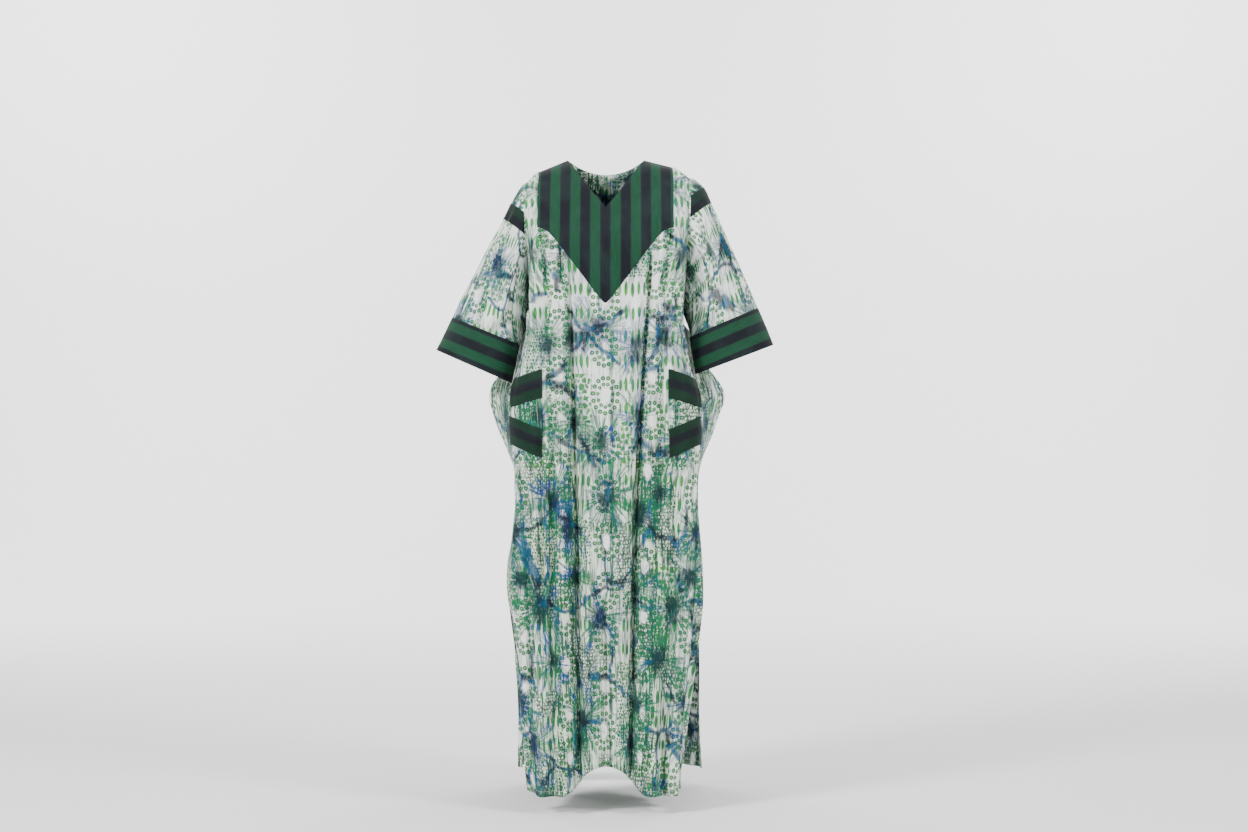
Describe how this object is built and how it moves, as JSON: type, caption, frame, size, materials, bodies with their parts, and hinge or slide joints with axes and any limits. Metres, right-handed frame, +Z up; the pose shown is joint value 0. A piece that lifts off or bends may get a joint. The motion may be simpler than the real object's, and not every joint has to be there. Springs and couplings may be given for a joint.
{
  "type": "kaftan dress",
  "caption": "Long loose V-neck kaftan dress in its worn shape, of patterned cloth with a striped yoke, cuffs, head bands and pocket bands, side slits and an arched front hem.",
  "frame": {"origin": "middle of the shoulder line, midway between the armhole ends of the two shoulder seams", "axes": "+Z up, from the hem to the neck; -Y the way the front faces; +X to the dress's own left"},
  "size_m": [0.751, 0.4174, 1.3974],
  "materials": {
    "print_cloth": "plain-woven cotton, printed and tie-dyed in green, teal and blue on off-white",
    "striped_cloth": "firm plain-woven cotton in green and near-black stripes"
  },
  "bodies": {
    "root": {"front": "print_cloth", "back": "print_cloth", "sleeve_left": "print_cloth", "sleeve_right": "print_cloth", "pocket_left": "print_cloth", "pocket_right": "print_cloth", "yoke": "striped_cloth", "cuff_left": "striped_cloth", "cuff_right": "striped_cloth", "head_band_left": "striped_cloth", "head_band_right": "striped_cloth", "pocket_upper_band_left": "striped_cloth", "pocket_upper_band_right": "striped_cloth", "pocket_lower_band_left": "striped_cloth", "pocket_lower_band_right": "striped_cloth"}
  },
  "joints": []
}
